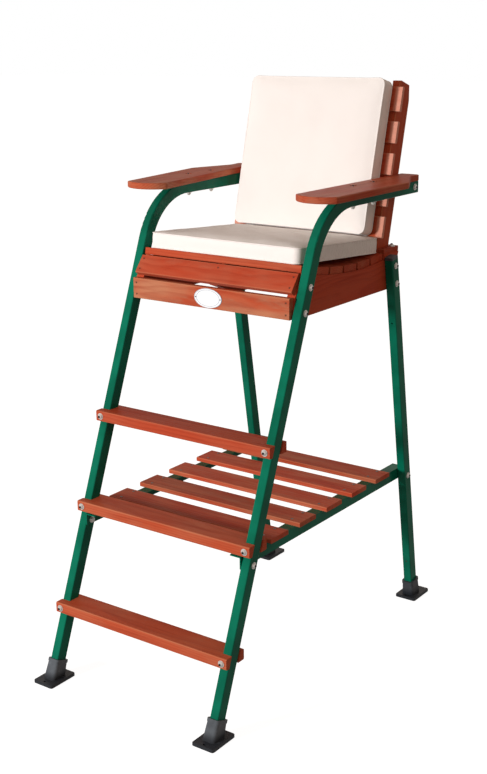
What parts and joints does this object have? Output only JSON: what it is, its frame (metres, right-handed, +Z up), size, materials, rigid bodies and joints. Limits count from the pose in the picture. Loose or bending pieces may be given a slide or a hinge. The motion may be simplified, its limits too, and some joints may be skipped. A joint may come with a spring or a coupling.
{
  "type": "tennis umpire chair",
  "caption": "Raised umpire chair: bent and straight tube legs, wooden treads, slatted shelf and seat, wide armrests and loose seat and back cushions.",
  "frame": {"origin": "on the floor, midway between the four feet", "axes": "+X to the right as one faces the chair, +Y from front to back, +Z up"},
  "size_m": [0.831, 1.306, 1.8251],
  "materials": {
    "wood": "reddish brown varnish, semi-gloss",
    "green_paint": "dark green gloss paint",
    "black_plastic": "moulded black plastic",
    "zinc": "bright zinc plating",
    "white_enamel": "white enamel with a thin grey ring",
    "cream_fabric": "cream cover with gathered seams"
  },
  "bodies": {
    "chair": {"arm_tube_plugs": "black_plastic", "armrest_bolts": "zinc", "armrest_left": "wood", "armrest_nuts": "zinc", "armrest_right": "wood", "back_bar": "wood", "back_bar_screws": "zinc", "back_slat_1": "wood", "back_slat_2": "wood", "back_slat_3": "wood", "back_slat_4": "wood", "back_slat_5": "wood", "back_stile_left": "wood", "back_stile_right": "wood", "badge_plate": "white_enamel", "foot_front_left": "black_plastic", "foot_front_right": "black_plastic", "foot_rear_left": "black_plastic", "foot_rear_right": "black_plastic", "front_frame_left": "green_paint", "front_frame_right": "green_paint", "rear_board_screws": "zinc", "rear_leg_caps": "black_plastic", "rear_leg_left": "green_paint", "rear_leg_right": "green_paint", "seat_apron": "wood", "seat_box_bolts": "zinc", "seat_box_nuts": "zinc", "seat_joist": "wood", "seat_nose_slat": "wood", "seat_rear_board": "wood", "seat_side_board_left": "wood", "seat_side_board_right": "wood", "seat_slat_1": "wood", "seat_slat_2": "wood", "seat_slat_3": "wood", "seat_slat_4": "wood", "seat_slat_5": "wood", "seat_slat_6": "wood", "shelf_rail_bolts": "zinc", "shelf_rail_left": "green_paint", "shelf_rail_nuts": "zinc", "shelf_rail_right": "green_paint", "shelf_slat_1": "wood", "shelf_slat_2": "wood", "shelf_slat_3": "wood", "shelf_slat_4": "wood", "shelf_slat_5": "wood", "tread_bolts": "zinc", "tread_lower": "wood", "tread_middle": "wood", "tread_nuts": "zinc", "tread_upper": "wood"},
    "seat_cushion": {"seat_cushion": "cream_fabric"},
    "back_cushion": {"back_cushion": "cream_fabric"}
  },
  "joints": [
    {"name": "seat_cushion_lift", "type": "slide", "parent": "chair", "child": "seat_cushion", "axis": [0, -0.9925, 0.1219], "range_m": [0, 0.2]},
    {"name": "back_cushion_lift", "type": "slide", "parent": "chair", "child": "back_cushion", "axis": [0, 0.2419, 0.9703], "range_m": [0, 0.25]}
  ]
}
